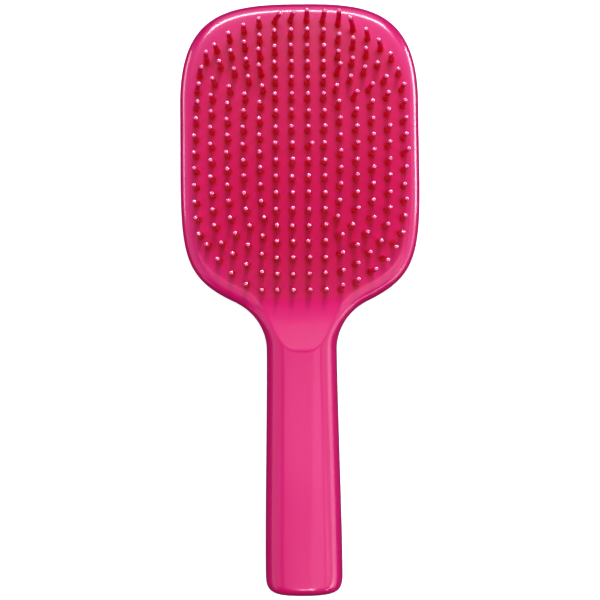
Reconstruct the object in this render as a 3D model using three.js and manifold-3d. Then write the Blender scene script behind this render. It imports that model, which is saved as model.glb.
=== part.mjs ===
// A large paddle hair brush. Two moulded half shells make the paddle and its hollow handle. The
// front half has a flat face with a hole for each pin. Behind the face, fourteen moulded rows of
// pins stand on one carrier plate, and the carrier floats on a foam cushion over a backing plate.
//
// Millimetres. X is across the brush, Y along it towards the head, Z up, out of the pin face.
// The origin is under the middle of the brush, on the surface that its back rests on.

import * as THREE from "three";
import { mergeGeometries, mergeVertices } from "three/addons/utils/BufferGeometryUtils.js";
import Module from "manifold-3d";

const wasm = await Module();
wasm.setup();

// Driving dimensions of the plan outline
const LENGTH = 230;
const HEAD_HALF_WIDTH = 46.4;
const NECK_HALF_WIDTH = 13.7;
const HANDLE_END_HALF_WIDTH = 15;
const WIDEST_Y = 76;
const SHOULDER = { x: 26.3, y: -0.5, slope: 0.444 };
const NECK_Y = -18.7;
const HANDLE_CORNER_Y = -103.6;

// Heights
const PARTING_Z = 7.5;
const FACE_Z = 15.5;
const HEAD_CREST_Z = 15.8;
const HANDLE_CREST_Z = 18.5;
const PIN_TIP_Z = 29.5;

// Edge rounding: how far in from the outline the skin reaches its full height
const FRONT_EDGE = 10.2;
const BACK_EDGE = 9;
const END_EDGE = 5;
const FRONT_SPINE = 1.5;
const BACK_SPINE = 2.5;

// Squareness of the sections: 2 is round, more is squarer
const RIM_POWER = 3.8;
const HANDLE_POWER = 2.7;
const BACK_POWER = 2.25;

// The flat face runs out into the handle's crown over this ramp
const RAMP_START_Y = 1;
const RAMP_END_Y = -19.5;
const RAMP_POWER = 1.6;
const CREST_RISE_START_Y = 6;
const CREST_RISE_END_Y = -17;

// Shell, lip and running gaps
const WALL = 2;
const GAP = 0.3;
const LIP = 1;
const LIP_RISE = 1.2;
const LIP_FOOT_Z = 3.5;

// The stack behind the face, from the back shell's ribs up
const RIB_TOP_Z = 4.6;
const RIB = 1.6;
const BACKING_THICKNESS = 1.5;
const FOAM_THICKNESS = 3;
const CARRIER_THICKNESS = 1.3;
const WEB_THICKNESS = 1.6;
const PLATE_INSET = 4.2;
const PLATE_END_Y = -1;

// Pins and their lattice
const COLUMN_PITCH = 6.15;
const ROW_PITCH = 6.15;
const LATTICE_MIDDLE_Y = 55.9;
const PIN_ROOT_RADIUS = 1;
const PIN_NECK_RADIUS = 0.75;
const PIN_DOME = 0.4;
const PIN_SIDES = 6;
const WEB_HALF_WIDTH = 1.5;
const WEB_BEND = 0.12;
const FIELD_TOP_Y = 107.6;
const FIELD_BOTTOM_Y = 3.9;
const CORNER_PULL = 4.4;
const CORNER_PULL_STEP = 0.75;

// Pegs that join the halves of the handle
const PEG_YS = [-42, -92];
const PEG_RADIUS = 1.8;
const PEG_TOP_Z = 12;
const BOSS_RADIUS = 3.6;
const BOSS_FOOT_Z = 8.2;
const ROUND_SIDES = 16;

const PINK = 0xe83c82;
const DEEP_PINK = 0xd42a6e;
const WHITE_PLASTIC = 0xe9e4e2;
const GREY_FOAM = 0x8b8b90;

// Vertices are shared and only their positions kept, which is what a closed solid needs.
function solid(geometry) {
  const bare = geometry.index ? geometry.toNonIndexed() : geometry.clone();
  bare.deleteAttribute("normal");
  bare.deleteAttribute("uv");
  const merged = mergeVertices(bare, 1e-4);
  const kept = [];
  for (let i = 0; i < merged.index.count; i += 3) {
    const [a, b, c] = [0, 1, 2].map((n) => merged.index.getX(i + n));
    if (a !== b && b !== c && c !== a) kept.push(a, b, c);
  }
  return new wasm.Manifold(
    new wasm.Mesh({
      numProp: 3,
      vertProperties: new Float32Array(merged.attributes.position.array),
      triVerts: new Uint32Array(kept),
    }),
  );
}

function geometryOf(body) {
  const mesh = body.getMesh();
  const geometry = new THREE.BufferGeometry();
  geometry.setAttribute("position", new THREE.BufferAttribute(mesh.vertProperties, 3));
  geometry.setIndex(new THREE.BufferAttribute(mesh.triVerts, 1));
  geometry.computeVertexNormals();
  return geometry;
}

const smoothstep = (x, from, to) => THREE.MathUtils.smoothstep((x - from) / (to - from), 0, 1);

// The right half of a paddle outline, from the top middle to the bottom middle, as five curves:
// crown and upper corner, side and lower corner, neck fillet, handle side, handle corner.
function halfPaddle({ top, head, widestY, shoulder, neck, neckY, end, cornerY, bottom, reach }) {
  const along = new THREE.Vector2(Math.cos(SHOULDER.slope), Math.sin(SHOULDER.slope));
  const at = new THREE.Vector2(shoulder.x, shoulder.y);
  const above = at.clone().addScaledVector(along, reach.above);
  const below = at.clone().addScaledVector(along, -reach.below);
  const curves = [
    [[0, top], [head * 0.56, top], [head, top - 1.5], [head, widestY], 8],
    [[head, widestY], [head, 22.5], above.toArray(), at.toArray(), 9],
    [at.toArray(), below.toArray(), [neck, neckY + 1.3], [neck, neckY], 6],
    [[neck, neckY], [neck, neckY - 20], [end, cornerY + 20], [end, cornerY], 3],
    [[end, cornerY], [end, bottom + 2.1], [end * 1.06, bottom], [0, bottom], 5],
  ];
  return curves.flatMap(([a, b, c, d, steps], i) => {
    const points = [a, b, c, d].map((p) => new THREE.Vector2(...p));
    return new THREE.CubicBezierCurve(...points).getPoints(steps).slice(i ? 1 : 0);
  });
}

const OUTLINE = halfPaddle({
  top: LENGTH / 2,
  head: HEAD_HALF_WIDTH,
  widestY: WIDEST_Y,
  shoulder: SHOULDER,
  neck: NECK_HALF_WIDTH,
  neckY: NECK_Y,
  end: HANDLE_END_HALF_WIDTH,
  cornerY: HANDLE_CORNER_Y,
  bottom: -LENGTH / 2,
  reach: { above: 26, below: 13.4 },
});

// The line inside the outline where the rounded edge has reached its full height: a smaller
// paddle on the head that narrows to a spine along the handle.
function crestLine(edge, spine) {
  return halfPaddle({
    top: LENGTH / 2 - edge,
    head: HEAD_HALF_WIDTH - edge,
    widestY: WIDEST_Y,
    shoulder: {
      x: SHOULDER.x - 1.3 * edge * Math.sin(SHOULDER.slope),
      y: SHOULDER.y + 1.3 * edge * Math.cos(SHOULDER.slope),
    },
    neck: spine,
    neckY: NECK_Y - 5,
    end: spine,
    cornerY: HANDLE_CORNER_Y,
    bottom: -LENGTH / 2 + END_EDGE,
    reach: { above: 26 - edge, below: 13.4 + edge },
  });
}

// The half outline moved in by a distance, square to itself.
function inset(points, distance) {
  return points.map((p, i) => {
    if (i === 0) return new THREE.Vector2(0, p.y - distance);
    if (i === points.length - 1) return new THREE.Vector2(0, p.y + distance);
    const along = points[i + 1].clone().sub(points[i - 1]).normalize();
    return new THREE.Vector2(p.x + along.y * distance, p.y - along.x * distance);
  });
}

// Height of the crest along the brush: level on the head, higher on the handle.
const crestHeight = (y) =>
  HEAD_CREST_Z +
  (HANDLE_CREST_Z - HEAD_CREST_Z) * smoothstep(y, CREST_RISE_START_Y, CREST_RISE_END_Y);

// Squareness of the front along the brush: the head's rim is squarer than the handle.
const frontPower = (y) =>
  RIM_POWER + (HANDLE_POWER - RIM_POWER) * smoothstep(y, CREST_RISE_START_Y, CREST_RISE_END_Y);
const backPower = () => BACK_POWER;

// A closed solid on the parting plane. Its skin starts at the outline, rises square to the plane
// and rounds over to the crest line: each section is a quarter of a superellipse.
function roundedHalf(outline, crest, heightAt, powerAt, rings) {
  const triangles = [];
  const up = heightAt(0) > PARTING_Z;
  const face = (a, b, c) => triangles.push(...(up ? [a, b, c] : [a, c, b]));
  const quad = (a, b, c, d) => {
    face(a, b, c);
    face(a, c, d);
  };
  const point = (k, ring, side) => {
    const turn = (ring / rings) * (Math.PI / 2);
    const power = powerAt(crest[k].y);
    const across = ring === rings ? 0 : Math.cos(turn) ** (2 / power);
    const rise = Math.sin(turn) ** (2 / power);
    const at = crest[k].clone().lerp(outline[k], across);
    const z = PARTING_Z + (heightAt(crest[k].y) - PARTING_Z) * rise;
    return new THREE.Vector3(side * at.x, at.y, z);
  };
  for (let k = 0; k + 1 < outline.length; k++) {
    for (let ring = 0; ring < rings; ring++) {
      const [a, b] = [point(k, ring, 1), point(k + 1, ring, 1)];
      const [c, d] = [point(k + 1, ring + 1, 1), point(k, ring + 1, 1)];
      quad(d, c, b, a);
      const mirrored = [a, b, c, d].map((p) => new THREE.Vector3(-p.x, p.y, p.z));
      quad(...mirrored);
    }
    for (const [ring, facing] of [[rings, 1], [0, -1]]) {
      const [a, b] = [point(k, ring, -facing), point(k + 1, ring, -facing)];
      quad(a, b, point(k + 1, ring, facing), point(k, ring, facing));
    }
  }
  return solid(new THREE.BufferGeometry().setFromPoints(triangles));
}

// A flat prism of a closed plan outline, with optional holes, between two heights.
function prism(points, from, to, holes = []) {
  const shape = new THREE.Shape(points);
  shape.holes = holes.map((hole) => new THREE.Path(hole));
  const geometry = new THREE.ExtrudeGeometry(shape, { depth: to - from, bevelEnabled: false });
  return solid(geometry.translate(0, 0, from));
}

const wholeOutline = (half) => [
  ...half,
  ...half.slice(1, -1).reverse().map((p) => new THREE.Vector2(-p.x, p.y)),
];

function post(x, y, radius, from, to) {
  const geometry = new THREE.CylinderGeometry(radius, radius, to - from, ROUND_SIDES);
  return solid(geometry.rotateX(Math.PI / 2).translate(x, y, (from + to) / 2));
}

function bar(x, y, z, width, depth, height) {
  return solid(new THREE.BoxGeometry(width, depth, height).translate(x, y, z));
}

// What is cut away over the pin face: flat over the head, then ramping up past the crown.
function faceCutter(lowered) {
  const clear = 60;
  const profile = [new THREE.Vector2(LENGTH, clear), new THREE.Vector2(LENGTH, FACE_Z)];
  const steps = 10;
  for (let i = 0; i <= steps; i++) {
    const y = THREE.MathUtils.lerp(RAMP_START_Y, RAMP_END_Y, i / steps);
    const rise = (HANDLE_CREST_Z - FACE_Z) * (i / steps) ** RAMP_POWER;
    profile.push(new THREE.Vector2(y, FACE_Z + rise));
  }
  profile.push(new THREE.Vector2(RAMP_END_Y, clear));
  const geometry = new THREE.ExtrudeGeometry(new THREE.Shape(profile), {
    depth: LENGTH,
    bevelEnabled: false,
  });
  geometry.rotateX(Math.PI / 2).rotateZ(Math.PI / 2);
  return solid(geometry.translate(-LENGTH / 2, 0, -lowered));
}

// Where the pins stand. The lattice has seven columns on each side of the middle. Column 0 is
// the outermost. Straight up the head its pins keep one pitch, and every other column is
// staggered by half a pitch. Above and below the lattice the pins spread evenly out to the
// edge of the field, and each column is pulled inwards where a ring of pins turns its corner.
const LATTICE = [
  { above: 5, below: 5, topRings: 1, bottomRings: 1 },
  { above: 5, below: 6, topRings: 2, bottomRings: 1 },
  { above: 4, below: 5, topRings: 3, bottomRings: 2 },
  { above: 4, below: 5, topRings: 4, bottomRings: 3 },
  { above: 4, below: 4, topRings: 4, bottomRings: 4 },
  { above: 5, below: 5, topRings: 4, bottomRings: 4 },
  { above: 5, below: 5, topRings: 4, bottomRings: 4 },
];
const COLUMNS_PER_SIDE = LATTICE.length;
const isStaggered = (column) => column % 2 === 1 || column === COLUMNS_PER_SIDE - 1;
const columnX = (column) => (COLUMNS_PER_SIDE - 0.5 - column) * COLUMN_PITCH;

const fieldTop = (x) => FIELD_TOP_Y - 14.6 * (x / 34.7) ** 2.6;
function fieldBottom(x) {
  const share = THREE.MathUtils.clamp((x - 15) / 24.5, 0, 1);
  return FIELD_BOTTOM_Y + 27 * (1 - (1 - share ** 1.45) ** (1 / 1.45));
}

function cornerPull(column, pin) {
  const past = pin - column;
  const fade = past > 0 ? Math.exp(-past) : Math.exp(0.45 * past);
  return column < 5 ? (CORNER_PULL - CORNER_PULL_STEP * column) * fade : 0;
}

function columnPins(column) {
  const { above, below, topRings, bottomRings } = LATTICE[column];
  const shift = isStaggered(column) ? 0.5 : 0;
  const ys = [];
  for (let m = above - shift; m >= -below + shift; m--) ys.push(LATTICE_MIDDLE_Y + ROW_PITCH * m);
  const x = columnX(column);
  const topY = ys[0];
  const bottomY = ys[ys.length - 1];
  const top = fieldTop(x - cornerPull(column, 0));
  const bottom = fieldBottom(x - cornerPull(column, 0));
  for (let i = 1; i <= topRings; i++) ys.unshift(topY + ((top - topY) * i) / topRings);
  for (let i = 1; i <= bottomRings; i++) ys.push(bottomY + ((bottom - bottomY) * i) / bottomRings);
  return ys.map((y, i) => {
    const pull = Math.max(cornerPull(column, i), cornerPull(column, ys.length - 1 - i));
    return new THREE.Vector2(x - pull, y);
  });
}

const mirrorX = (points) => points.map((p) => new THREE.Vector2(-p.x, p.y));
const RIGHT_ROWS = LATTICE.map((_, column) => columnPins(column));
const ROWS = [...RIGHT_ROWS.map(mirrorX), ...RIGHT_ROWS.toReversed()];

// Heights of the stack, each piece a running gap above the last
const BACKING_Z = RIB_TOP_Z + GAP;
const FOAM_Z = BACKING_Z + BACKING_THICKNESS + GAP;
const CARRIER_Z = FOAM_Z + FOAM_THICKNESS + GAP;
const WEB_Z = CARRIER_Z + CARRIER_THICKNESS + GAP;
const WEB_TOP_Z = WEB_Z + WEB_THICKNESS;

function pinHoles() {
  const radius = PIN_ROOT_RADIUS + GAP;
  const holes = ROWS.flat().map((at) =>
    new THREE.CylinderGeometry(radius, radius, 2 * WALL, PIN_SIDES)
      .rotateX(Math.PI / 2)
      .translate(at.x, at.y, FACE_Z - WALL / 2),
  );
  return solid(mergeGeometries(holes));
}

function frontShell() {
  const crest = crestLine(FRONT_EDGE, FRONT_SPINE);
  const skin = roundedHalf(OUTLINE, crest, crestHeight, frontPower, 5).subtract(faceCutter(0));
  const ceiling = (y) => crestHeight(y) - WALL;
  const inside = roundedHalf(inset(OUTLINE, WALL), crest, ceiling, frontPower, 4);
  let shell = skin.subtract(inside.subtract(faceCutter(WALL))).subtract(pinHoles());
  for (const y of PEG_YS) {
    const boss = post(0, y, BOSS_RADIUS, BOSS_FOOT_Z, HANDLE_CREST_Z - WALL / 2);
    const socket = post(0, y, PEG_RADIUS + GAP, 0, PEG_TOP_Z + GAP);
    shell = shell.add(boss).subtract(socket);
  }
  return shell;
}

function backShell() {
  const crest = crestLine(BACK_EDGE, BACK_SPINE);
  const hollow = roundedHalf(inset(OUTLINE, WALL), crest, () => WALL, backPower, 2);
  let shell = roundedHalf(OUTLINE, crest, () => 0, backPower, 4).subtract(hollow);
  const lipIn = wholeOutline(inset(OUTLINE, WALL + GAP + LIP)).reverse();
  const foot = wholeOutline(inset(OUTLINE, WALL - GAP));
  const lip = wholeOutline(inset(OUTLINE, WALL + GAP));
  shell = shell.add(prism(foot, LIP_FOOT_Z, PARTING_Z, [lipIn]));
  shell = shell.add(prism(lip, PARTING_Z - 1, PARTING_Z + LIP_RISE, [lipIn]));
  const ribZ = (WALL / 2 + RIB_TOP_Z) / 2;
  const ribHeight = RIB_TOP_Z - WALL / 2;
  const ribYs = { low: 14, high: 98 };
  const ribMiddle = (ribYs.low + ribYs.high) / 2;
  for (const x of [-22, 0, 22]) {
    shell = shell.add(bar(x, ribMiddle, ribZ, RIB, ribYs.high - ribYs.low, ribHeight));
  }
  for (const y of [28, 56, 84]) shell = shell.add(bar(0, y, ribZ, 64, RIB, ribHeight));
  for (const y of PEG_YS) shell = shell.add(post(0, y, PEG_RADIUS, WALL / 2, PEG_TOP_Z));
  return shell;
}

// Plates and cushion share one outline: the head's, moved in, and cut straight at the neck.
function headPlate(from, thickness) {
  const half = inset(OUTLINE, PLATE_INSET);
  const kept = half.filter((p) => p.y > PLATE_END_Y);
  const [last, next] = [kept.at(-1), half[kept.length]];
  const share = (last.y - PLATE_END_Y) / (last.y - next.y);
  kept.push(last.clone().lerp(next, share));
  const plan = [...kept, ...mirrorX(kept.slice(1)).reverse()];
  return prism(plan, from, from + thickness);
}

// One row: a narrow web that follows the column, with its pins standing on it. The web has a
// corner only where the column bends.
function pinRow(points) {
  const bends = points.filter((p, i) => {
    const [before, after] = [points[i - 1], points[i + 1]];
    return !before || !after || Math.abs(before.x - p.x) + Math.abs(p.x - after.x) > WEB_BEND;
  });
  const last = bends.length - 1;
  const sides = bends.map((p, i) => {
    const along = bends[Math.min(i + 1, last)].clone().sub(bends[Math.max(i - 1, 0)]);
    along.normalize();
    const end = i === 0 ? -1 : i === last ? 1 : 0;
    const middle = p.clone().addScaledVector(along, end * WEB_HALF_WIDTH);
    const out = new THREE.Vector2(-along.y, along.x).multiplyScalar(WEB_HALF_WIDTH);
    return [middle.clone().add(out), middle.clone().sub(out)];
  });
  const plan = [...sides.map((s) => s[1]), ...sides.map((s) => s[0]).reverse()];
  const web = prism(plan, WEB_Z, WEB_TOP_Z);
  const rootZ = WEB_Z + WEB_THICKNESS / 2;
  const profile = [
    [0, rootZ],
    [PIN_ROOT_RADIUS, rootZ],
    [PIN_NECK_RADIUS, PIN_TIP_Z - PIN_DOME],
    [0, PIN_TIP_Z],
  ].map((p) => new THREE.Vector2(...p));
  const pins = points.map((p) =>
    new THREE.LatheGeometry(profile, PIN_SIDES).rotateX(Math.PI / 2).translate(p.x, p.y, 0),
  );
  return web.add(solid(mergeGeometries(pins)));
}

const moulded = (color) => new THREE.MeshStandardMaterial({ color, roughness: 0.18 });
const shellPink = moulded(PINK);
const pinPink = moulded(DEEP_PINK);
const platePlastic = new THREE.MeshStandardMaterial({ color: WHITE_PLASTIC, roughness: 0.5 });
const foam = new THREE.MeshStandardMaterial({ color: GREY_FOAM, roughness: 0.95 });

const brush = new THREE.Group();
function place(name, body, material) {
  const mesh = new THREE.Mesh(geometryOf(body), material);
  mesh.name = name;
  brush.add(mesh);
}

place("front_shell", frontShell(), shellPink);
place("back_shell", backShell(), shellPink);
place("backing_plate", headPlate(BACKING_Z, BACKING_THICKNESS), platePlastic);
place("foam_cushion", headPlate(FOAM_Z, FOAM_THICKNESS), foam);
place("pin_carrier", headPlate(CARRIER_Z, CARRIER_THICKNESS), platePlastic);
ROWS.forEach((points, i) => {
  place(`pin_row_${String(i + 1).padStart(2, "0")}`, pinRow(points), pinPink);
});

export default brush;
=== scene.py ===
"""Paddle hair brush lying on its back: moulded shells, rows of soft pins, cushion and studio.

Metres. X is across the brush, Y along it towards the head, Z up, out of the pin face.
"""

import math

import bpy
import numpy as np
from bpy.props import FloatProperty, FloatVectorProperty, IntProperty, PointerProperty
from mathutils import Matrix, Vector


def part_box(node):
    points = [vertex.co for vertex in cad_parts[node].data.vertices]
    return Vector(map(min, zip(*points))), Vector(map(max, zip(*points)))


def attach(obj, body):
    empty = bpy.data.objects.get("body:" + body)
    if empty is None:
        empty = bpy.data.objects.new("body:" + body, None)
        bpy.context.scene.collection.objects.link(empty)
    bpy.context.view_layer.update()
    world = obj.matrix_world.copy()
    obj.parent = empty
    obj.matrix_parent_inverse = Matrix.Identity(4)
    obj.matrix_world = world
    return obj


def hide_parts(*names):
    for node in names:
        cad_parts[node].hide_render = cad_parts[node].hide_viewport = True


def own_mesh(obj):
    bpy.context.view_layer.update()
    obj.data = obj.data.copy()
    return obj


bl_info = {
    "name": "Paddle Brush",
    "version": (1, 0, 0),
    "blender": (4, 5, 0),
    "location": "3D View > Sidebar > Brush",
    "description": "Builds a moulded paddle hair brush, its pins, its cushion and a studio",
    "category": "Add Mesh",
}

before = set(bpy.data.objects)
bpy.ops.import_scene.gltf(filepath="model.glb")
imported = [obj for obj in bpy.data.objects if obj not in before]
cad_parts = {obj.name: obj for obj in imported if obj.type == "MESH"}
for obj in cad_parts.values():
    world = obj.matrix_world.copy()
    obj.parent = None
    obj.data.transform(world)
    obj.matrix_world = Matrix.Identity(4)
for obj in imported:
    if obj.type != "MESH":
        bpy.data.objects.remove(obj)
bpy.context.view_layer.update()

MM = 0.001
PADDLE_BODY = "paddle"
PIN_BODY = "pin_bed"

# Plan outline. The shoulder is where the head's corner passes into the neck, with the slope of
# the outline there and the reach of its curve above and below.
SHOULDER = (26.3 * MM, -0.5 * MM)
SHOULDER_SLOPE = 0.444
SHOULDER_REACH = (26 * MM, 13.4 * MM)
TOP_SHARE = 0.56
TOP_SAG = 1.5 * MM
SIDE_END_Y = 22.5 * MM
NECK_REACH = 1.3 * MM
HANDLE_REACH = 20 * MM
END_SAG = 2.1 * MM
END_SHARE = 1.06
OUTLINE_STEPS = (90, 90, 40, 60, 44)
CREST_SHIFT = 1.3
CREST_NECK_DROP = 5 * MM

# Heights along the front: the crest climbs to the crown between two places along Y, the ramp
# rises from the face, and the crease where they meet gets narrower towards the handle.
CLIMB_FROM_Y = 6 * MM
CLIMB_TO_Y = -17 * MM
RAMP_FROM_Y = 1.0 * MM
RAMP_LENGTH = 20.5 * MM
RAMP_POWER = 1.6
CREASE = 0.2 * MM
CREASE_LOSS = 0.16 * MM
CREASE_END_Y = -15 * MM

# Rings of the skins: from the middle line to the crest, round the edge, and round the lip.
FRONT_RINGS = (46, 40)
BACK_RINGS = (14, 30)
FRONT_INSIDE_RINGS = 12
BACK_INSIDE_RINGS = 8
INSIDE_SKIP = 3
LIP_RINGS = 5

# Upper and lower edge of the field of pins, and how far its corners are pulled in.
FIELD_TOP_DROP = 14.6 * MM
FIELD_TOP_HALF = 34.7 * MM
FIELD_TOP_POWER = 2.6
FIELD_BOTTOM_LEVEL = 15 * MM
FIELD_BOTTOM_WIDTH = 24.5 * MM
FIELD_BOTTOM_RISE = 27 * MM
FIELD_BOTTOM_POWER = 1.45
CORNER_PULL = 4.4 * MM
CORNER_PULL_STEP = 0.75 * MM
CORNER_PULL_COLUMNS = 5
CORNER_PULL_FADE = 0.45

# One pin: height of the flare at its foot, rings of its dome, and how its lean grows.
FLARE_HEIGHT = 0.6 * MM
DOME_RINGS = 4
LEAN_POWER = 1.6
LEAN_SEED = 7

# Foam pad: inside the outline, short of the handle, bulge of the edge and room above and below.
FOAM_INSET = 4.6 * MM
FOAM_END_INSET = 0.3 * MM
FOAM_BULGE = 0.5 * MM
FOAM_ROOM = 0.05 * MM
FOAM_RINGS = 9

# Heights and shares of free sky between which the pinks blend, and how far the painted shade
# reaches: the deep red among the pins is painted shade, the pale tip a painted highlight.
TIP_PAINTED_HIGHLIGHT_FADE = (0.0278, 0.0290)
SIDE_FADE = (0.010, 0.012)
SHELL_PAINTED_SHADE_SKY = (0.45, 0.80)
SHELL_PAINTED_SHADE_REACH = 0.006
PIN_PAINTED_SHADE_SKY = (0.60, 1.0)
PIN_PAINTED_SHADE_REACH = 0.012

# Studio.
FLOOR_HALF = 12.0
FLOOR_Z = -0.0003
CARD_X = (-0.12, 0.16)
CARD_Y = (0.05, 0.21)
CARD_Z = 1.3
LAMP_TARGET = (0, 0.01, 0)
AIR_GLOW = 0.05

# Name, place, size and glow of each lamp, then whether it lights the matt part of a surface
# and whether it shows in the gloss.
LAMPS = (
    ("ceiling", (0.0, 0.0, 1.7), (3.0, 3.0), 0.37, True, True),
    ("over_handle", (0.0, -0.52, 1.5), (1.6, 0.92), 0.9, False, True),
    ("key", (0.08, 0.62, 1.25), (0.14, 0.6), 18.5, True, False),
    ("top_panel", (0.0, 0.84, 0.92), (1.1, 0.30), 30.0, False, True),
    ("top_glow", (0.0, 1.0, 0.42), (1.1, 0.7), 1.4, False, True),
    ("over_top_1", (0.0, 0.61, 1.5), (1.6, 0.5), 0.30, False, True),
    ("over_top_2", (0.0, 0.65, 1.5), (1.6, 0.5), 0.30, False, True),
    ("over_top_3", (0.0, 0.69, 1.5), (1.6, 0.5), 0.30, False, True),
    ("over_neck", (0.0, -0.17, 1.49), (1.6, 0.22), 0.7, False, True),
    ("over_right", (0.62, -0.45, 1.4), (0.75, 1.1), 1.0, False, True),
    ("right_sheen", (0.80, -0.32, 0.22), (0.75, 0.42), 2.3, False, True),
    ("left_low", (-0.80, -0.36, 0.13), (0.75, 0.24), 1.2, True, True),
    ("left_panel", (-0.85, 0.0, 0.55), (1.3, 0.6), 0.95, True, True),
    ("right_panel", (0.85, 0.0, 0.55), (1.3, 0.8), 1.35, True, True),
    ("left_strip", (-0.80, 0.28, 0.14), (0.5, 0.26), 7.0, False, True),
    ("right_strip", (0.80, 0.28, 0.16), (0.5, 0.30), 18.0, False, True),
    ("low_strip", (0.65, -0.60, 0.40), (0.6, 0.16), 5.0, False, True),
    ("end_sheen", (0.028, -0.489, 0.605), (0.16, 0.25), 6.0, False, True),
    ("end_glint", (0.062, -0.489, 0.605), (0.03, 0.20), 34.0, False, True),
)

# The pins that stand off the lattice: (row, pin counted from the head) and how far the tip
# leans over, in millimetres. Row 1 is the left one.
LEANING_PINS = {
    (1, 1): (0.6, 1.5),
    (1, 2): (1.7, 1.2),
    (1, 3): (1.7, 1.1),
    (1, 4): (1.5, 0.6),
    (1, 5): (0.9, 0.4),
    (5, 3): (-0.6, 1.2),
    (5, 4): (-0.9, 1.6),
    (6, 1): (2.5, 0.5),
    (7, 1): (1.2, 0.4),
    (8, 1): (0.0, 1.2),
    (8, 9): (1.6, -0.1),
    (9, 1): (0.5, 1.3),
    (10, 1): (0.0, 2.6),
    (10, 4): (1.0, 1.8),
    (10, 14): (1.1, 0.0),
    (10, 15): (0.8, 0.1),
    (10, 16): (0.8, 0.4),
    (10, 17): (0.4, 1.7),
    (11, 1): (-2.0, 2.2),
    (11, 2): (-0.4, 1.0),
    (11, 5): (1.0, 0.7),
    (11, 12): (1.0, 0.0),
    (11, 14): (1.0, -0.4),
    (11, 15): (0.8, 0.1),
    (11, 16): (0.4, 1.3),
    (12, 1): (-1.6, 1.0),
    (12, 2): (-0.9, 0.5),
    (12, 4): (1.0, 0.4),
    (12, 12): (0.9, -0.5),
    (12, 15): (1.6, 0.9),
    (13, 1): (-1.9, 1.2),
    (13, 2): (-0.9, -1.2),
    (13, 14): (1.0, -1.0),
    (14, 1): (-1.6, 0.1),
    (14, 2): (-1.4, -0.4),
    (14, 7): (0.8, 0.5),
    (14, 9): (-0.9, -0.5),
    (14, 13): (0.0, -1.8),
}

# Each side of the lattice, outermost column first: lattice steps above and below its middle,
# then the pins that spread from there to the upper and the lower edge of the field.
LATTICE = (
    (5, 5, 1, 1),
    (5, 6, 2, 1),
    (4, 5, 3, 2),
    (4, 5, 4, 3),
    (4, 4, 4, 4),
    (5, 5, 4, 4),
    (5, 5, 4, 4),
)


def length(name, description, default):
    """A length property in metres."""
    return FloatProperty(
        name=name, description=description, default=default, unit="LENGTH", precision=5
    )


def colour(name, description, default):
    """A colour property in linear light."""
    return FloatVectorProperty(
        name=name, description=description, default=default, size=4, min=0, max=1, subtype="COLOR"
    )


class BrushShape(bpy.types.PropertyGroup):
    """Plan, heights and edges of the two shells."""

    overall: length("Length", "Whole length along Y", 0.230)
    head_half: length("Head", "Half the width of the head", 0.0464)
    neck_half: length("Neck", "Half the width of the neck", 0.0137)
    end_half: length("Handle end", "Half the width at the end of the handle", 0.0150)
    widest_y: length("Widest", "Where the head is widest", 0.076)
    neck_y: length("Neck place", "Where the neck is narrowest", -0.0187)
    corner_y: length("Corner", "Where the corner of the handle starts", -0.1036)
    parting_z: length("Parting", "Height of the joint between the shells", 0.0075)
    face_z: length("Face", "Height of the pin face", 0.0155)
    crest_z: length("Crest", "Height the rim would reach with no face", 0.0158)
    crown_z: length("Crown", "Height of the handle", 0.0185)
    front_edge: length("Front edge", "Width of the front rounding", 0.0102)
    back_edge: length("Back edge", "Width of the back rounding", 0.009)
    end_edge: length("End edge", "Width of the rounding at the handle's end", 0.005)
    front_spine: length("Front spine", "Half width of the handle's crown", 0.0015)
    back_spine: length("Back spine", "Half width of the handle's flat back", 0.0025)
    head_power: FloatProperty(name="Head power", description="Squareness of the rim", default=3.8)
    handle_power: FloatProperty(
        name="Handle power", description="Squareness of the handle", default=2.7
    )
    back_power: FloatProperty(name="Back power", description="Squareness of the back", default=2.25)
    wall: length("Wall", "Thickness of the shells", 0.002)
    seam: length("Seam", "Width of the rounding along the joint", 0.00022)


class PinShape(bpy.types.PropertyGroup):
    """The lattice of pins and one pin's profile."""

    pitch: length("Pitch", "Distance between columns and between rows", 0.00615)
    middle_y: length("Middle", "Middle of the lattice along Y", 0.0559)
    top_y: length("Top", "Upper edge of the field", 0.1076)
    bottom_y: length("Bottom", "Lower edge of the field", 0.0039)
    root_radius: length("Root", "Radius at the foot of a pin", 0.00120)
    neck_radius: length("Neck", "Radius below the tip of a pin", 0.00082)
    dome: length("Dome", "Height of the rounded tip", 0.00055)
    fillet: length("Fillet", "Flare of the foot over the face", 0.00015)
    tip_z: length("Tip", "Height of the tips", 0.0295)
    web_half: length("Web", "Half the width of a row's web", 0.0015)
    web_z: length("Web foot", "Height of the web's underside", 0.0116)
    web_rise: length("Web rise", "Thickness of the web", 0.0016)
    jitter: length("Jitter", "Spread of the small lean of every pin", 0.00014)
    sides: IntProperty(name="Sides", description="Sides of one pin", default=10)


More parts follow.
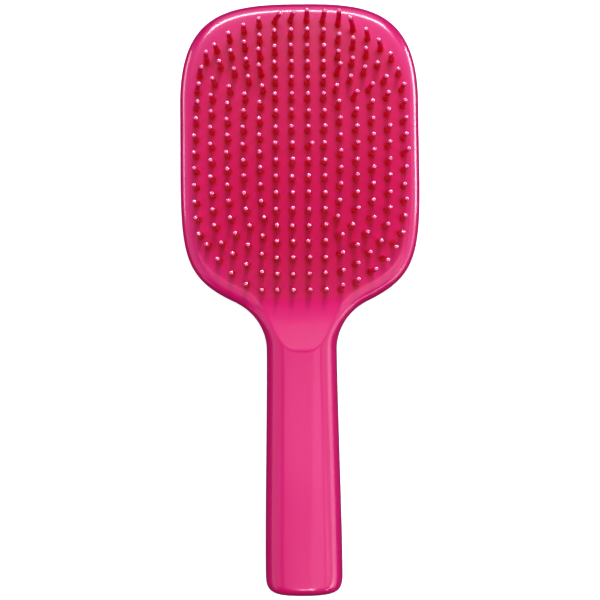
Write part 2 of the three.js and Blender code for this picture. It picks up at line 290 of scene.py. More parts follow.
class BrushColours(bpy.types.PropertyGroup):
    """Colours of the pieces; each finish wanders between a first and a second colour."""

    shell: colour("Shell", "Shell where it is thick", (0.82, 0.0080, 0.215, 1))
    shell_thin: colour("Thin shell", "Shell where it is thin", (0.87, 0.0120, 0.250, 1))
    # Painted shade: the deep red laid on the shell at the feet of the pins.
    shell_painted_shade: colour("Shaded shell", "Shell at the feet of the pins", (0.60, 0.0003, 0.018, 1))
    pin: colour("Pin", "Free shaft, first colour", (0.82, 0.0070, 0.180, 1))
    pin_second: colour("Pin, second", "Free shaft, second colour", (0.86, 0.0110, 0.220, 1))
    # Painted shade: the deep reds laid on the shafts among the other pins.
    shade: colour("Shaded pin", "Shaft among the others, first colour", (0.76, 0.0003, 0.006, 1))
    painted_shade_second: colour(
        "Shaded pin, second", "Shaft among the others, second colour", (0.78, 0.0006, 0.010, 1)
    )
    # Painted highlight: the paler pinks laid on the tips for the light on top of them.
    tip: colour("Tip", "Tip of a pin, first colour", (0.93, 0.09, 0.34, 1))
    painted_highlight_tip_second: colour("Tip, second", "Tip of a pin, second colour", (0.96, 0.13, 0.40, 1))
    plate: colour("Plate", "Inner plates, first colour", (0.72, 0.69, 0.67, 1))
    plate_second: colour("Plate, second", "Inner plates, second colour", (0.80, 0.78, 0.76, 1))
    foam: colour("Foam", "Depth of the foam's cells", (0.10, 0.10, 0.11, 1))
    foam_second: colour("Foam, second", "Ridges of the foam's cells", (0.30, 0.30, 0.32, 1))
    paper: colour("Paper", "Studio paper, first colour", (0.90, 0.90, 0.90, 1))
    paper_second: colour("Paper, second", "Studio paper, second colour", (0.93, 0.93, 0.93, 1))
    card: colour("Card", "Dark card, first colour", (0.13, 0.13, 0.13, 1))
    card_second: colour("Card, second", "Dark card, second colour", (0.16, 0.16, 0.16, 1))


class StudioSetup(bpy.types.PropertyGroup):
    """Place and lens of the camera."""

    lens: FloatProperty(name="Lens", description="Focal length in mm", default=75.45)
    distance: length("Distance", "Height of the camera over the floor", 0.5)
    offset_x: length("Offset", "Camera to the left of the brush's middle", -0.0073)
    shift_x: FloatProperty(name="Shift", description="Lens shift across", default=0.0291)
    roll: FloatProperty(
        name="Roll", description="Turn about the view axis", default=-0.011, subtype="ANGLE"
    )


def settings(name):
    """The named property group of the scene."""
    return getattr(bpy.context.scene, name)


def tint(name):
    """The named colour of the brush."""
    return tuple(getattr(settings("brush_colours"), name))


def bezier(points, steps):
    """B(t) = (1-t)^3 a + 3(1-t)^2 t b + 3(1-t) t^2 c + t^3 d, for t from 0 to 1."""
    t = np.linspace(0, 1, steps + 1)[:, None]
    a, b, c, d = np.array(points, float)
    return (1 - t) ** 3 * a + 3 * (1 - t) ** 2 * t * b + 3 * (1 - t) * t**2 * c + t**3 * d


def half_paddle(top, head, shoulder, neck, neck_y, end, bottom, reach):
    """The right half of a paddle outline as five curves, from the top to the bottom middle.

    They run over the top corner, down the side to the shoulder, round the shoulder into the
    neck, along the handle, and round the handle's end.
    """
    shape = settings("brush_shape")
    at = np.array(shoulder)
    along = np.array([math.cos(SHOULDER_SLOPE), math.sin(SHOULDER_SLOPE)])
    above, below = at + along * reach[0], at - along * reach[1]
    widest, corner = shape.widest_y, shape.corner_y
    curves = (
        [(0, top), (head * TOP_SHARE, top), (head, top - TOP_SAG), (head, widest)],
        [(head, widest), (head, SIDE_END_Y), above, at],
        [at, below, (neck, neck_y + NECK_REACH), (neck, neck_y)],
        [(neck, neck_y), (neck, neck_y - HANDLE_REACH), (end, corner + HANDLE_REACH), (end, corner)],
        [(end, corner), (end, bottom + END_SAG), (end * END_SHARE, bottom), (0, bottom)],
    )
    parts = [bezier(curve, steps) for curve, steps in zip(curves, OUTLINE_STEPS)]
    return np.concatenate([parts[0]] + [part[1:] for part in parts[1:]])


def outline():
    """The plan outline of the brush."""
    shape = settings("brush_shape")
    return half_paddle(
        shape.overall / 2,
        shape.head_half,
        SHOULDER,
        shape.neck_half,
        shape.neck_y,
        shape.end_half,
        -shape.overall / 2,
        SHOULDER_REACH,
    )


def crest_line(edge, spine):
    """Where the rounded edge reaches its full height: a smaller paddle with a narrow spine."""
    shape = settings("brush_shape")
    shift = CREST_SHIFT * edge
    shoulder = (
        SHOULDER[0] - shift * math.sin(SHOULDER_SLOPE),
        SHOULDER[1] + shift * math.cos(SHOULDER_SLOPE),
    )
    return half_paddle(
        shape.overall / 2 - edge,
        shape.head_half - edge,
        shoulder,
        spine,
        shape.neck_y - CREST_NECK_DROP,
        spine,
        -shape.overall / 2 + shape.end_edge,
        (SHOULDER_REACH[0] - edge, SHOULDER_REACH[1] + edge),
    )


def smoothstep(x, start, end):
    """3s^2 - 2s^3 with s = (x - start) / (end - start), kept between 0 and 1."""
    s = np.clip((x - start) / (end - start), 0, 1)
    return s * s * (3 - 2 * s)


def smooth_min(a, b, radius):
    """The lower of two surfaces, with a fillet of about the given radius where they meet."""
    h = np.clip(0.5 + 0.5 * (b - a) / radius, 0, 1)
    return b * (1 - h) + a * h - radius * h * (1 - h)


def moved_in(line, distance):
    """A half outline moved in square to itself."""
    along = np.gradient(line, axis=0)
    along /= np.linalg.norm(along, axis=1)[:, None]
    moved = line + np.stack([along[:, 1], -along[:, 0]], axis=1) * distance
    moved[[0, -1], 0] = 0
    return moved


def at_height(line, height):
    """A plan line as points at one height."""
    return np.concatenate([line, np.full((len(line), 1), height)], axis=1)


def lip_rings(edge_line, start, upwards):
    """Rings that turn a skin in over a quarter circle along the joint.

    Each ring lies seam (1 - cos t) inside the outline and seam (1 - sin t) above or below the
    starting height, t running from 0 to 90 degrees.
    """
    seam = settings("brush_shape").seam
    rings = []
    for turn in np.linspace(0, math.pi / 2, LIP_RINGS):
        line = moved_in(edge_line, seam * (1 - math.cos(turn)))
        step = seam * (1 - math.sin(turn))
        rings.append(at_height(line, start + step if upwards else start - step))
    return np.stack(rings, axis=1)


def skin_grid(edge_line, crest, across_steps, turn, power):
    """Plan points and rise of a rounded skin, one row per outline point.

    Outwards from the middle line the point runs to the crest along X, then to the outline p as
    q + (p - q) cos(t)^(2/n), while the rise goes as sin(t)^(2/n), t being a turn from 90 to 0
    degrees, q the crest point and n the squareness.
    """
    power = np.broadcast_to(power, len(crest))[:, None]
    out = np.cos(turn) ** (2 / power)
    rise = np.sin(turn) ** (2 / power)
    inner = np.linspace(0, 1, across_steps, endpoint=False)
    middle = np.stack([crest[:, 0] * 0, crest[:, 1]], axis=1)
    flat = middle[:, None] + (crest - middle)[:, None] * inner[None, :, None]
    edge = crest[:, None] + (edge_line - crest)[:, None] * out[:, :, None]
    plan = np.concatenate([flat, edge], axis=1)
    return plan, np.concatenate([np.ones((len(crest), across_steps)), rise], axis=1)


def mirrored_mesh(name, points, upwards):
    """A closed mesh from a half grid of points, whose rows follow each other along the outline.

    Column 0 and the last column lie on the middle line or meet another sheet there, and the
    first and the last row lie in the mirror plane, so those points are shared by both halves.
    """
    rows, columns = points.shape[:2]
    right = np.arange(rows * columns).reshape(rows, columns)
    left = right + rows * columns
    shared = np.zeros((rows, columns), bool)
    shared[[0, -1], :] = True
    shared[np.abs(points[:, :, 0]) < 1e-9] = True
    left[shared] = right[shared]
    mirrored = points * np.array([-1, 1, 1])
    every = np.concatenate([points.reshape(-1, 3), mirrored.reshape(-1, 3)])
    quads = []
    for index, flip in ((right, upwards), (left, not upwards)):
        quad = np.stack(
            [index[:-1, :-1], index[:-1, 1:], index[1:, 1:], index[1:, :-1]], axis=-1
        ).reshape(-1, 4)
        quads.append(quad[:, ::-1] if flip else quad)
    return mesh_object(name, every, np.concatenate(quads))


def mesh_object(name, points, faces):
    """A smooth-shaded object from points and quads; quads that lost a side become triangles."""
    used, index = np.unique(faces.reshape(-1), return_inverse=True)
    points = points[used]
    faces = index.reshape(faces.shape)
    keep = faces != np.roll(faces, 1, axis=1)
    whole = keep.sum(axis=1) >= 3
    polygons = [face[ok] for face, ok in zip(faces[whole], keep[whole])]
    mesh = bpy.data.meshes.new(name)
    mesh.from_pydata(points, [], [polygon.tolist() for polygon in polygons])
    mesh.polygons.foreach_set("use_smooth", np.ones(len(polygons), bool))
    mesh.update()
    piece = bpy.data.objects.new(name, mesh)
    bpy.context.collection.objects.link(piece)
    return piece


class Nodes:
    """Short ways to add nodes to one material."""

    def __init__(self, name):
        """Starts a material of the given name."""
        self.material = bpy.data.materials.new(name)
        self.material.use_nodes = True
        self.tree = self.material.node_tree
        self.shader = self.tree.nodes["Principled BSDF"]

    def add(self, kind, inputs=None, **values):
        """Adds a node, sets its properties, and sets or links its inputs."""
        node = self.tree.nodes.new(kind)
        for key, value in values.items():
            setattr(node, key, value)
        for key, value in (inputs or {}).items():
            self.feed(node.inputs[key], value)
        return node

    def feed(self, socket, value):
        """Links an output to a socket, or sets the socket's own value."""
        if isinstance(value, bpy.types.NodeSocket):
            self.tree.links.new(value, socket)
        else:
            socket.default_value = value

    def coordinates(self, scale):
        """Object coordinates, stretched by a scale along each axis."""
        place = self.add("ShaderNodeTexCoord").outputs["Object"]
        return self.add("ShaderNodeMapping", {"Vector": place, "Scale": scale}).outputs["Vector"]

    def noise(self, scale, detail=2.0, roughness=0.5):
        """Noise with features of 1/scale metres along each axis."""
        return self.add(
            "ShaderNodeTexNoise",
            {
                "Vector": self.coordinates(scale),
                "Scale": 1.0,
                "Detail": detail,
                "Roughness": roughness,
            },
        ).outputs["Fac"]

    def height(self):
        """Height over the ground, from the object coordinates."""
        place = self.add("ShaderNodeTexCoord").outputs["Object"]
        return self.add("ShaderNodeSeparateXYZ", {"Vector": place}).outputs["Z"]

    def shelter(self, reach, towards=None):
        """1 in the open and 0 where everything within reach is shut in by other surfaces."""
        node = self.add("ShaderNodeAmbientOcclusion", {"Distance": reach}, samples=6)
        if towards is not None:
            self.feed(node.inputs["Normal"], towards)
        return node.outputs["AO"]

    def span(self, value, low, high, start=0.0, end=1.0):
        """Maps a value from start..end to low..high, kept inside."""
        return self.add(
            "ShaderNodeMapRange",
            {"Value": value, "From Min": start, "From Max": end, "To Min": low, "To Max": high},
        ).outputs["Result"]

    def mix(self, factor, first, second):
        """Mixes two colours."""
        node = self.add("ShaderNodeMix", data_type="RGBA")
        self.feed(node.inputs[0], factor)
        self.feed(node.inputs[6], first)
        self.feed(node.inputs[7], second)
        return node.outputs[2]

    def bump(self, height, distance, normal=None):
        """Bump from a height of 0 to 1 that stands for the given distance."""
        node = self.add("ShaderNodeBump", {"Height": height, "Distance": distance})
        if normal is not None:
            self.feed(node.inputs["Normal"], normal)
        return node.outputs["Normal"]


def shell_material():
    """Pink glossy moulding: flow in the colour, long ripples, and fine scuffs in the gloss.

    It has painted shade: the colour turns deep red at the feet of the pins, where they would shut
    out the light that comes from the head's end, and stays plain pink on the sides and the back.
    """
    build = Nodes("pink_moulding")
    flow = build.noise((18, 9, 18), detail=3.0)
    pink = build.mix(build.span(flow, 0, 1, 0.35, 0.65), tint("shell"), tint("shell_thin"))
    # Painted shade: deep red where other surfaces shut in the face within reach, tilted to fall on
    # the side of each pin away from the head's end like a shadow; kept off below the face height.
    square = build.add("ShaderNodeNewGeometry").outputs["Normal"]
    tilted = build.add("ShaderNodeVectorMath", {0: square, 1: (0.0, 0.8, 0.0)}, operation="ADD")
    towards = build.add("ShaderNodeVectorMath", {0: tilted.outputs[0]}, operation="NORMALIZE")
    sky = build.shelter(SHELL_PAINTED_SHADE_REACH, towards.outputs[0])
    clear_of_painted_shade = build.span(sky, 0, 1, *SHELL_PAINTED_SHADE_SKY)
    side = build.span(build.height(), 1, 0, *SIDE_FADE)
    clear_of_painted_shade = build.add("ShaderNodeMath", {0: clear_of_painted_shade, 1: side}, operation="MAXIMUM")
    pink = build.mix(clear_of_painted_shade.outputs[0], tint("shell_painted_shade"), pink)
    build.feed(build.shader.inputs["Base Color"], pink)
    scuffs = build.noise((600, 600, 600), detail=4.0, roughness=0.7)
    build.feed(build.shader.inputs["Roughness"], build.span(scuffs, 0.26, 0.36))
    ripples = build.noise((48, 8, 48), detail=0.5)
    bands = build.noise((150, 6, 150), detail=1.0)
    normal = build.bump(bands, 0.00008, build.bump(ripples, 0.00025))
    build.feed(build.shader.inputs["Normal"], normal)
    build.feed(build.shader.inputs["Coat Normal"], normal)
    build.shader.inputs["Coat Weight"].default_value = 0.5
    build.shader.inputs["Specular IOR Level"].default_value = 0.2
    build.shader.inputs["Coat Roughness"].default_value = 0.10
    return build.material


def pin_material():
    """The same pink, with painted shade deep red where the neighbours keep the light out, and a
    paler tip as a painted highlight.
    """
    build = Nodes("pink_pins")
    # rise blends in the tip's painted highlight colour, and the coat, over the top of the pin.
    rise = build.span(build.height(), 0, 1, *TIP_PAINTED_HIGHLIGHT_FADE)
    mottle = build.noise((300, 300, 120), detail=2.0)
    # Painted shade: deep red shaft colours for where the other pins and the face shut the light out.
    deep = build.mix(mottle, tint("shade"), tint("painted_shade_second"))
    shaft = build.mix(mottle, tint("pin"), tint("pin_second"))
    # Painted highlight: the paler tip colours stand in for the light on top of each dome.
    tip = build.mix(mottle, tint("tip"), tint("painted_highlight_tip_second"))
    # The painted shade is laid on by how shut in the shaft is.
    clear_of_painted_shade = build.span(build.shelter(PIN_PAINTED_SHADE_REACH), 0, 1, *PIN_PAINTED_SHADE_SKY)
    shaft = build.mix(clear_of_painted_shade, deep, shaft)
    build.feed(build.shader.inputs["Base Color"], build.mix(rise, shaft, tip))
    wear = build.noise((1200, 1200, 500), detail=3.0)
    build.feed(build.shader.inputs["Roughness"], build.span(wear, 0.22, 0.34))
    build.feed(build.shader.inputs["Normal"], build.bump(wear, 0.00001))
    build.feed(build.shader.inputs["Coat Weight"], build.span(rise, 0.05, 1.0))
    build.shader.inputs["Specular IOR Level"].default_value = 0.1
    build.shader.inputs["Coat IOR"].default_value = 1.9
    build.shader.inputs["Coat Roughness"].default_value = 0.2
    return build.material


def plate_material():
    """Off-white moulded plate with faint flow marks."""
    build = Nodes("inner_plate")
    flow = build.noise((40, 14, 40), detail=4.0)
    shade = build.mix(flow, tint("plate"), tint("plate_second"))
    build.feed(build.shader.inputs["Base Color"], shade)
    grain = build.noise((1500, 1500, 1500), detail=2.0)
    build.feed(build.shader.inputs["Roughness"], build.span(grain, 0.45, 0.65))
    build.feed(build.shader.inputs["Normal"], build.bump(grain, 0.00003))
    return build.material


def foam_material():
    """Grey open-cell foam: round cells of a third of a millimetre."""
    build = Nodes("cushion_foam")
    place = build.coordinates((3000, 3000, 3000))
    cells = build.add("ShaderNodeTexVoronoi", {"Vector": place, "Scale": 1.0})
    depth = build.span(cells.outputs["Distance"], 0, 1, 0.1, 0.7)
    grey = build.mix(depth, tint("foam"), tint("foam_second"))
    build.feed(build.shader.inputs["Base Color"], grey)
    build.feed(build.shader.inputs["Roughness"], build.span(depth, 0.85, 1.0))
    build.feed(build.shader.inputs["Normal"], build.bump(depth, 0.0002))
    return build.material


def floor_material():
    """White studio paper with a very faint tooth."""
    build = Nodes("studio_paper")
    tooth = build.noise((400, 400, 400), detail=4.0)
    white = build.mix(tooth, tint("paper"), tint("paper_second"))
    build.feed(build.shader.inputs["Base Color"], white)
    build.feed(build.shader.inputs["Roughness"], build.span(tooth, 0.7, 0.9))
    build.shader.inputs["Emission Color"].default_value = (1, 1, 1, 1)
    build.shader.inputs["Emission Strength"].default_value = 0.6
    return build.material


def card_material():
    """Dark grey card with a faint tooth."""
    build = Nodes("grey_card")
    tooth = build.noise((500, 500, 500), detail=2.0)
    grey = build.mix(tooth, tint("card"), tint("card_second"))
    build.feed(build.shader.inputs["Base Color"], grey)
    build.feed(build.shader.inputs["Roughness"], build.span(tooth, 0.8, 1.0))
    return build.material


def material(name, make):
    """The named material, made on its first use."""
    return bpy.data.materials.get(name) or make()


class BRUSH_OT_front_shell(bpy.types.Operator):
    """Builds the front shell: rounded rim, flat pin face, ramp and handle crown"""

    bl_idname = "brush.front_shell"
    bl_label = "Front Shell"

    def execute(self, context):
        """z = parting + (H(y) - parting) sin(t)^(2/n), and never above the face and its ramp.

        H is level over the head and rises to the crown along the handle. The inside is the same
        surface one wall further in, and both meet in a lip rounded along the joint.
        """
        shape = settings("brush_shape")
        edge_line = outline()
        crest = crest_line(shape.front_edge, shape.front_spine)
        across, round_edge = FRONT_RINGS
        turn = np.linspace(math.pi / 2, 0, round_edge)
        along = smoothstep(crest[:, 1], CLIMB_FROM_Y, CLIMB_TO_Y)
        power = shape.head_power + (shape.handle_power - shape.head_power) * along
        points = self.surface(*skin_grid(edge_line, crest, across, turn, power), 0.0)
        lip = lip_rings(edge_line, points[:, -1, 2].max(), True)
        inner_line = moved_in(edge_line, shape.wall)
        inner_turn = turn[::INSIDE_SKIP]
        inner = skin_grid(inner_line, crest, FRONT_INSIDE_RINGS, inner_turn, power)
        inside = self.surface(*inner, shape.wall)[:, ::-1]
        grid = np.concatenate([points[:, :-1], lip, inside], axis=1)
        piece = mirrored_mesh("front_shell_skin", grid, True)
        piece.data.materials.append(material("pink_moulding", shell_material))
        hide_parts("front_shell")
        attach(piece, PADDLE_BODY)
        return {"FINISHED"}

    def surface(self, plan, rise, lowered):
        """Points of the skin over a grid of plan points, lowered by the wall for the inside.

        The face is level, and beyond the start of its ramp it rises as ((start - y) / length)^n.
        """
        shape = settings("brush_shape")
        y = plan[:, :, 1]
        crest_y = np.repeat(y[:, :1], y.shape[1], axis=1)
        lift = smoothstep(crest_y, CLIMB_FROM_Y, CLIMB_TO_Y)
        height = shape.crest_z + (shape.crown_z - shape.crest_z) * lift - lowered
        body = shape.parting_z + (height - shape.parting_z) * rise
        climb = np.maximum(RAMP_FROM_Y - y, 0) / RAMP_LENGTH
        face = shape.face_z - lowered + (shape.crown_z - shape.face_z) * climb**RAMP_POWER
        crease = CREASE - CREASE_LOSS * smoothstep(y, 0, CREASE_END_Y)
        z = smooth_min(body, face, crease)
        return np.concatenate([plan, z[:, :, None]], axis=2)


class BRUSH_OT_back_shell(bpy.types.Operator):
    """Builds the back shell: flat back with a wide rounded edge"""

    bl_idname = "brush.back_shell"
    bl_label = "Back Shell"

    def execute(self, context):
        """z = parting (1 - sin(t)^(2/n)), with the inside one wall further in."""
        shape = settings("brush_shape")
        edge_line = outline()
        crest = crest_line(shape.back_edge, shape.back_spine)
        across, round_edge = BACK_RINGS
        turn = np.linspace(math.pi / 2, 0, round_edge)
        plan, rise = skin_grid(edge_line, crest, across, turn, shape.back_power)
        z = shape.parting_z * (1 - rise)
        points = np.concatenate([plan, z[:, :, None]], axis=2)
        inner_line = moved_in(edge_line, shape.wall)
        inner_plan, inner_rise = skin_grid(
            inner_line, crest, BACK_INSIDE_RINGS, turn[::INSIDE_SKIP], shape.back_power
        )
        inner_z = shape.parting_z - (shape.parting_z - shape.wall) * inner_rise
        inside = np.concatenate([inner_plan, inner_z[:, :, None]], axis=2)[:, ::-1]
        lip = lip_rings(edge_line, shape.parting_z, False)
        grid = np.concatenate([points[:, :-1], lip, inside], axis=1)
        piece = mirrored_mesh("back_shell_skin", grid, False)
        piece.data.materials.append(material("pink_moulding", shell_material))
        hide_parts("back_shell")
        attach(piece, PADDLE_BODY)
        return {"FINISHED"}


def corner_pull(column, place):
    """How far a pin is pulled in where a ring turns its corner, by its place from the end.

    It is most in the column's own ring and fades as exp(-d) on one side and more slowly on the
    other, d being the number of places away.
    """
    past = place - column
    fade = np.where(past > 0, np.exp(-past), np.exp(CORNER_PULL_FADE * np.minimum(past, 0)))
    most = CORNER_PULL - CORNER_PULL_STEP * column if column < CORNER_PULL_COLUMNS else 0
    return most * fade


def column_roots(column):
    """The roots of one right-hand column of pins, from the head down, as points in plan.

    The field's upper edge falls as drop (x / half)^n and its lower edge rises as
    rise (1 - (1 - u^m)^(1/m)), u being the share of the way out to the last column.
    """
    pins = settings("pin_shape")
    above, below, top_rings, bottom_rings = LATTICE[column]
    shift = 0.5 if column % 2 or column == len(LATTICE) - 1 else 0.0
    steps = np.arange(above - shift, -below + shift - 0.01, -1)
    y = pins.middle_y + pins.pitch * steps
    x = (len(LATTICE) - 0.5 - column) * pins.pitch
    turned = x - float(corner_pull(column, np.array(0.0)))
    top = pins.top_y - FIELD_TOP_DROP * (turned / FIELD_TOP_HALF) ** FIELD_TOP_POWER
    share = np.clip((turned - FIELD_BOTTOM_LEVEL) / FIELD_BOTTOM_WIDTH, 0, 1)
    sag = (1 - share**FIELD_BOTTOM_POWER) ** (1 / FIELD_BOTTOM_POWER)
    bottom = pins.bottom_y + FIELD_BOTTOM_RISE * (1 - sag)
    upper = np.linspace(top, y[0], top_rings, endpoint=False)
    lower = np.linspace(bottom, y[-1], bottom_rings, endpoint=False)[::-1]
    y = np.concatenate([upper, y, lower])
    place = np.arange(len(y), dtype=float)
    pull = np.maximum(corner_pull(column, place), corner_pull(column, place[::-1]))
    return np.stack([x - pull, y], axis=1)


def pin_rows():
    """All rows of pin roots, from left to right."""
    right = [column_roots(column) for column in range(len(LATTICE))]
    left = [row * np.array([-1, 1]) for row in right]
    return left + right[::-1]


class BRUSH_OT_pin_rows(bpy.types.Operator):
    """Builds the rows of soft pins on their webs"""

    bl_idname = "brush.pin_rows"
    bl_label = "Pin Rows"

    def execute(self, context):
        """One piece per row; every pin leans a little by its own amount, some of them a lot."""
        rng = np.random.default_rng(LEAN_SEED)
        pins = settings("pin_shape")
        for number, roots in enumerate(pin_rows(), start=1):
            lean = rng.normal(0, pins.jitter, roots.shape)
            for place in range(len(roots)):
                known = LEANING_PINS.get((number, place + 1))
                if known:
                    lean[place] = np.array(known) * MM
            points, faces = self.pins(roots, lean)
            web_points, web_faces = self.web(roots)
            piece = mesh_object(
                f"soft_pins_{number:02d}",
                np.concatenate([points, web_points]),
                np.concatenate([faces, web_faces + len(points)]),
            )
            piece.data.materials.append(material("pink_pins", pin_material))
            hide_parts(f"pin_row_{number:02d}")
            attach(piece, PIN_BODY)
        return {"FINISHED"}

    def pins(self, roots, lean):
        """Radius r(s) and height s of a pin about a bent axis.

        r = root + (neck - root) s plus a short flare at the foot, rounded off at the tip, and the
        axis moves over by lean u^1.6, s running from 0 at the web and u from 0 at the face, both
        to 1 at the tip.
        """
        pins = settings("pin_shape")
        foot = pins.web_z + pins.web_rise / 2
        face = settings("brush_shape").face_z
        dome = np.linspace(0, math.pi / 2, DOME_RINGS)
        shaft = [foot, foot, face, face + FLARE_HEIGHT, (face + pins.tip_z) / 2]
        z = np.concatenate([shaft, pins.tip_z - pins.dome * (1 - np.sin(dome))])
        s = (z - foot) / (pins.tip_z - foot)
        radius = pins.root_radius + (pins.neck_radius - pins.root_radius) * s
        radius[2] += pins.fillet
        radius[-DOME_RINGS:] = pins.neck_radius * np.cos(dome)
        radius[[0, -1]] = 0
        turn = np.linspace(0, 2 * math.pi, pins.sides, endpoint=False)
        ring = np.stack([np.cos(turn), np.sin(turn)], axis=1)
        over = np.clip((z - face) / (pins.tip_z - face), 0, 1) ** LEAN_POWER
        middle = roots[:, None] + lean[:, None] * over[None, :, None]
        plan = middle[:, :, None] + ring[None, None] * radius[None, :, None, None]
        high = np.broadcast_to(z[None, :, None, None], plan.shape[:3] + (1,))
        points = np.concatenate([plan, high], axis=3).reshape(-1, 3)
        rings, sides = len(z), pins.sides
        index = np.arange(len(roots) * rings * sides).reshape(len(roots), rings, sides)
        index[:, [0, -1]] = index[:, [0, -1], :1]
        beside = np.roll(index, -1, axis=2)
        faces = np.stack(
            [index[:, :-1], beside[:, :-1], beside[:, 1:], index[:, 1:]], axis=-1
        ).reshape(-1, 4)
        return points, faces

    def web(self, roots):
        """A closed bar of constant section swept along the row."""
        pins = settings("pin_shape")
        along = np.gradient(roots, axis=0)
        along /= np.linalg.norm(along, axis=1)[:, None]
        line = roots.copy()
        line[0] -= along[0] * pins.web_half
        line[-1] += along[-1] * pins.web_half
        out = np.stack([along[:, 1], -along[:, 0]], axis=1) * pins.web_half
        top = pins.web_z + pins.web_rise
        section = ((-1, pins.web_z), (1, pins.web_z), (1, top), (-1, top))
        points = np.stack([at_height(line + out * side, z) for side, z in section], axis=1)
        index = np.arange(len(line) * 4).reshape(-1, 4)
        beside = np.roll(index, -1, axis=1)
        faces = np.stack([index[:-1], index[1:], beside[1:], beside[:-1]], axis=-1)
        caps = np.stack([index[0], index[-1][::-1]])
        return points.reshape(-1, 3), np.concatenate([faces.reshape(-1, 4), caps])


class BRUSH_OT_cushion(bpy.types.Operator):
    """Builds the foam cushion under the pin carrier and finishes the plates round it"""

    bl_idname = "brush.cushion"
    bl_label = "Cushion"

    def execute(self, context):
        """A slab over the head's plan whose edge bulges as sin(pi s) over its thickness."""
        low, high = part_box("foam_cushion")
        line = moved_in(outline(), FOAM_INSET)
        line = line[line[:, 1] > low[1] + FOAM_END_INSET]
        line = np.concatenate([line, [[0.0, line[-1, 1]]]])
        rings = []
        for share in np.linspace(0, 1, FOAM_RINGS):
            inward = FOAM_BULGE * (1 - math.sin(math.pi * share))
            ring = line * np.array([1 - inward / line[:, 0].max(), 1.0])
            z = low[2] + FOAM_ROOM + (high[2] - low[2] - 2 * FOAM_ROOM) * share
            rings.append(at_height(ring, z))
        bottom, top = rings[0] * np.array([0, 1, 1]), rings[-1] * np.array([0, 1, 1])
        grid = np.stack([bottom] + rings + [top], axis=1)
        piece = mirrored_mesh("foam_pad", grid, False)
        piece.data.materials.append(material("cushion_foam", foam_material))
        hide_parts("foam_cushion")
        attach(piece, PADDLE_BODY)
        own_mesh(piece)
        for node in ("backing_plate", "pin_carrier"):
            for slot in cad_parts[node].material_slots:
                slot.material = material("inner_plate", plate_material)
        return {"FINISHED"}


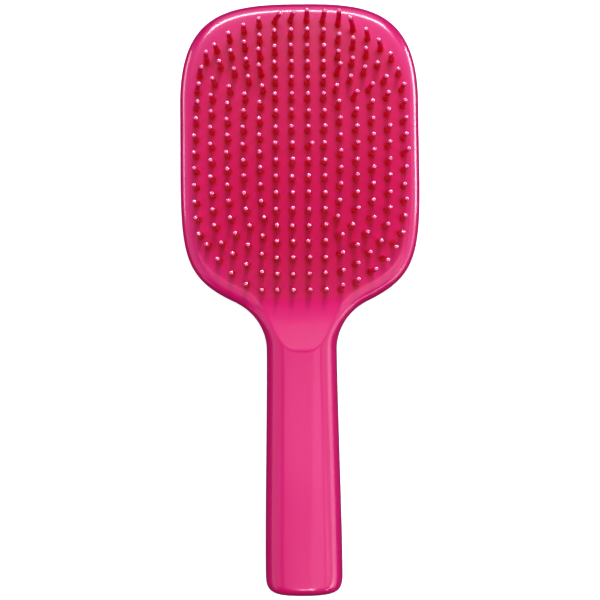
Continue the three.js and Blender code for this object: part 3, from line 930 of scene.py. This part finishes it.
class BRUSH_OT_studio(bpy.types.Operator):
    """Sets up the floor, the lights and the camera"""

    bl_idname = "brush.studio"
    bl_label = "Studio"

    def execute(self, context):
        """Floor under the brush, soft boxes round it and a camera straight above."""
        self.floor()
        for name, place, size, glow, matt, shine in LAMPS:
            self.softbox(name, place, size, glow, matt, shine)
        self.card()
        world = bpy.data.worlds.new("studio_air")
        world.use_nodes = True
        air = world.node_tree.nodes["Background"]
        air.inputs["Color"].default_value = (1, 1, 1, 1)
        air.inputs["Strength"].default_value = AIR_GLOW
        context.scene.world = world
        context.scene.view_settings.view_transform = "Standard"
        context.scene.view_settings.look = "Medium High Contrast"
        self.camera(context)
        return {"FINISHED"}

    def sheet(self, name, x, y, z):
        """A level rectangle between two places along X and two along Y.

        It faces up, or down where the places along Y are given from high to low.
        """
        corners = [(x[0], y[0], z), (x[1], y[0], z), (x[1], y[1], z), (x[0], y[1], z)]
        return mesh_object(name, np.array(corners), np.array([[0, 1, 2, 3]]))

    def floor(self):
        """A plain sheet of paper, a hair below the brush's back."""
        span = (-FLOOR_HALF, FLOOR_HALF)
        floor = self.sheet("studio_floor", span, span, FLOOR_Z)
        floor.data.materials.append(material("studio_paper", floor_material))
        floor.visible_glossy = False
        floor.visible_diffuse = False

    def card(self):
        """A dark card over the brush, facing down, which shows as a shade in the pin face."""
        card = self.sheet("studio_card", CARD_X, CARD_Y[::-1], CARD_Z)
        card.data.materials.append(material("grey_card", card_material))

    def softbox(self, name, place, size, glow, matt, shine):
        """A rectangular lamp of an even glow that points at the middle of the head.

        Its power is glow times pi times its area. matt and shine say whether it lights the matt
        part of a surface and whether it shows in the gloss.
        """
        lamp = bpy.data.lights.new(name, "AREA")
        lamp.shape = "RECTANGLE"
        lamp.size, lamp.size_y = size
        lamp.energy = glow * math.pi * size[0] * size[1]
        holder = bpy.data.objects.new(name, lamp)
        holder.visible_diffuse = matt
        holder.visible_glossy = shine
        holder.location = place
        aim = Vector(LAMP_TARGET) - holder.location
        holder.rotation_euler = aim.to_track_quat("-Z", "Y").to_euler()
        bpy.context.collection.objects.link(holder)

    def camera(self, context):
        """Straight above the brush, turned a little about the view axis."""
        studio = settings("studio_setup")
        lens = bpy.data.cameras.new("camera")
        lens.lens = studio.lens
        lens.sensor_width = 36
        lens.shift_x = studio.shift_x
        camera = bpy.data.objects.new("camera", lens)
        camera.location = (studio.offset_x, 0, studio.distance)
        camera.rotation_euler = (0, 0, studio.roll)
        context.collection.objects.link(camera)
        context.scene.camera = camera


class BRUSH_PT_panel(bpy.types.Panel):
    """Sidebar panel with one button per piece"""

    bl_idname = "BRUSH_PT_panel"
    bl_label = "Paddle Brush"
    bl_space_type = "VIEW_3D"
    bl_region_type = "UI"
    bl_category = "Brush"

    def draw(self, context):
        """Lists the buttons in building order."""
        for operator in OPERATORS:
            self.layout.operator(operator.bl_idname)


OPERATORS = (
    BRUSH_OT_front_shell,
    BRUSH_OT_back_shell,
    BRUSH_OT_pin_rows,
    BRUSH_OT_cushion,
    BRUSH_OT_studio,
)
GROUPS = {
    "brush_shape": BrushShape,
    "pin_shape": PinShape,
    "brush_colours": BrushColours,
    "studio_setup": StudioSetup,
}


def register():
    """Registers the classes and hangs the property groups on the scene."""
    for group in GROUPS.values():
        bpy.utils.register_class(group)
    for operator in OPERATORS:
        bpy.utils.register_class(operator)
    bpy.utils.register_class(BRUSH_PT_panel)
    for name, group in GROUPS.items():
        setattr(bpy.types.Scene, name, PointerProperty(type=group))


def unregister():
    """Undoes register."""
    for name in GROUPS:
        delattr(bpy.types.Scene, name)
    bpy.utils.unregister_class(BRUSH_PT_panel)
    for operator in reversed(OPERATORS):
        bpy.utils.unregister_class(operator)
    for group in reversed(list(GROUPS.values())):
        bpy.utils.unregister_class(group)


def main():
    register()
    bpy.ops.brush.front_shell()
    bpy.ops.brush.back_shell()
    bpy.ops.brush.pin_rows()
    bpy.ops.brush.cushion()
    bpy.ops.brush.studio()


if __name__ == "__main__":
    main()
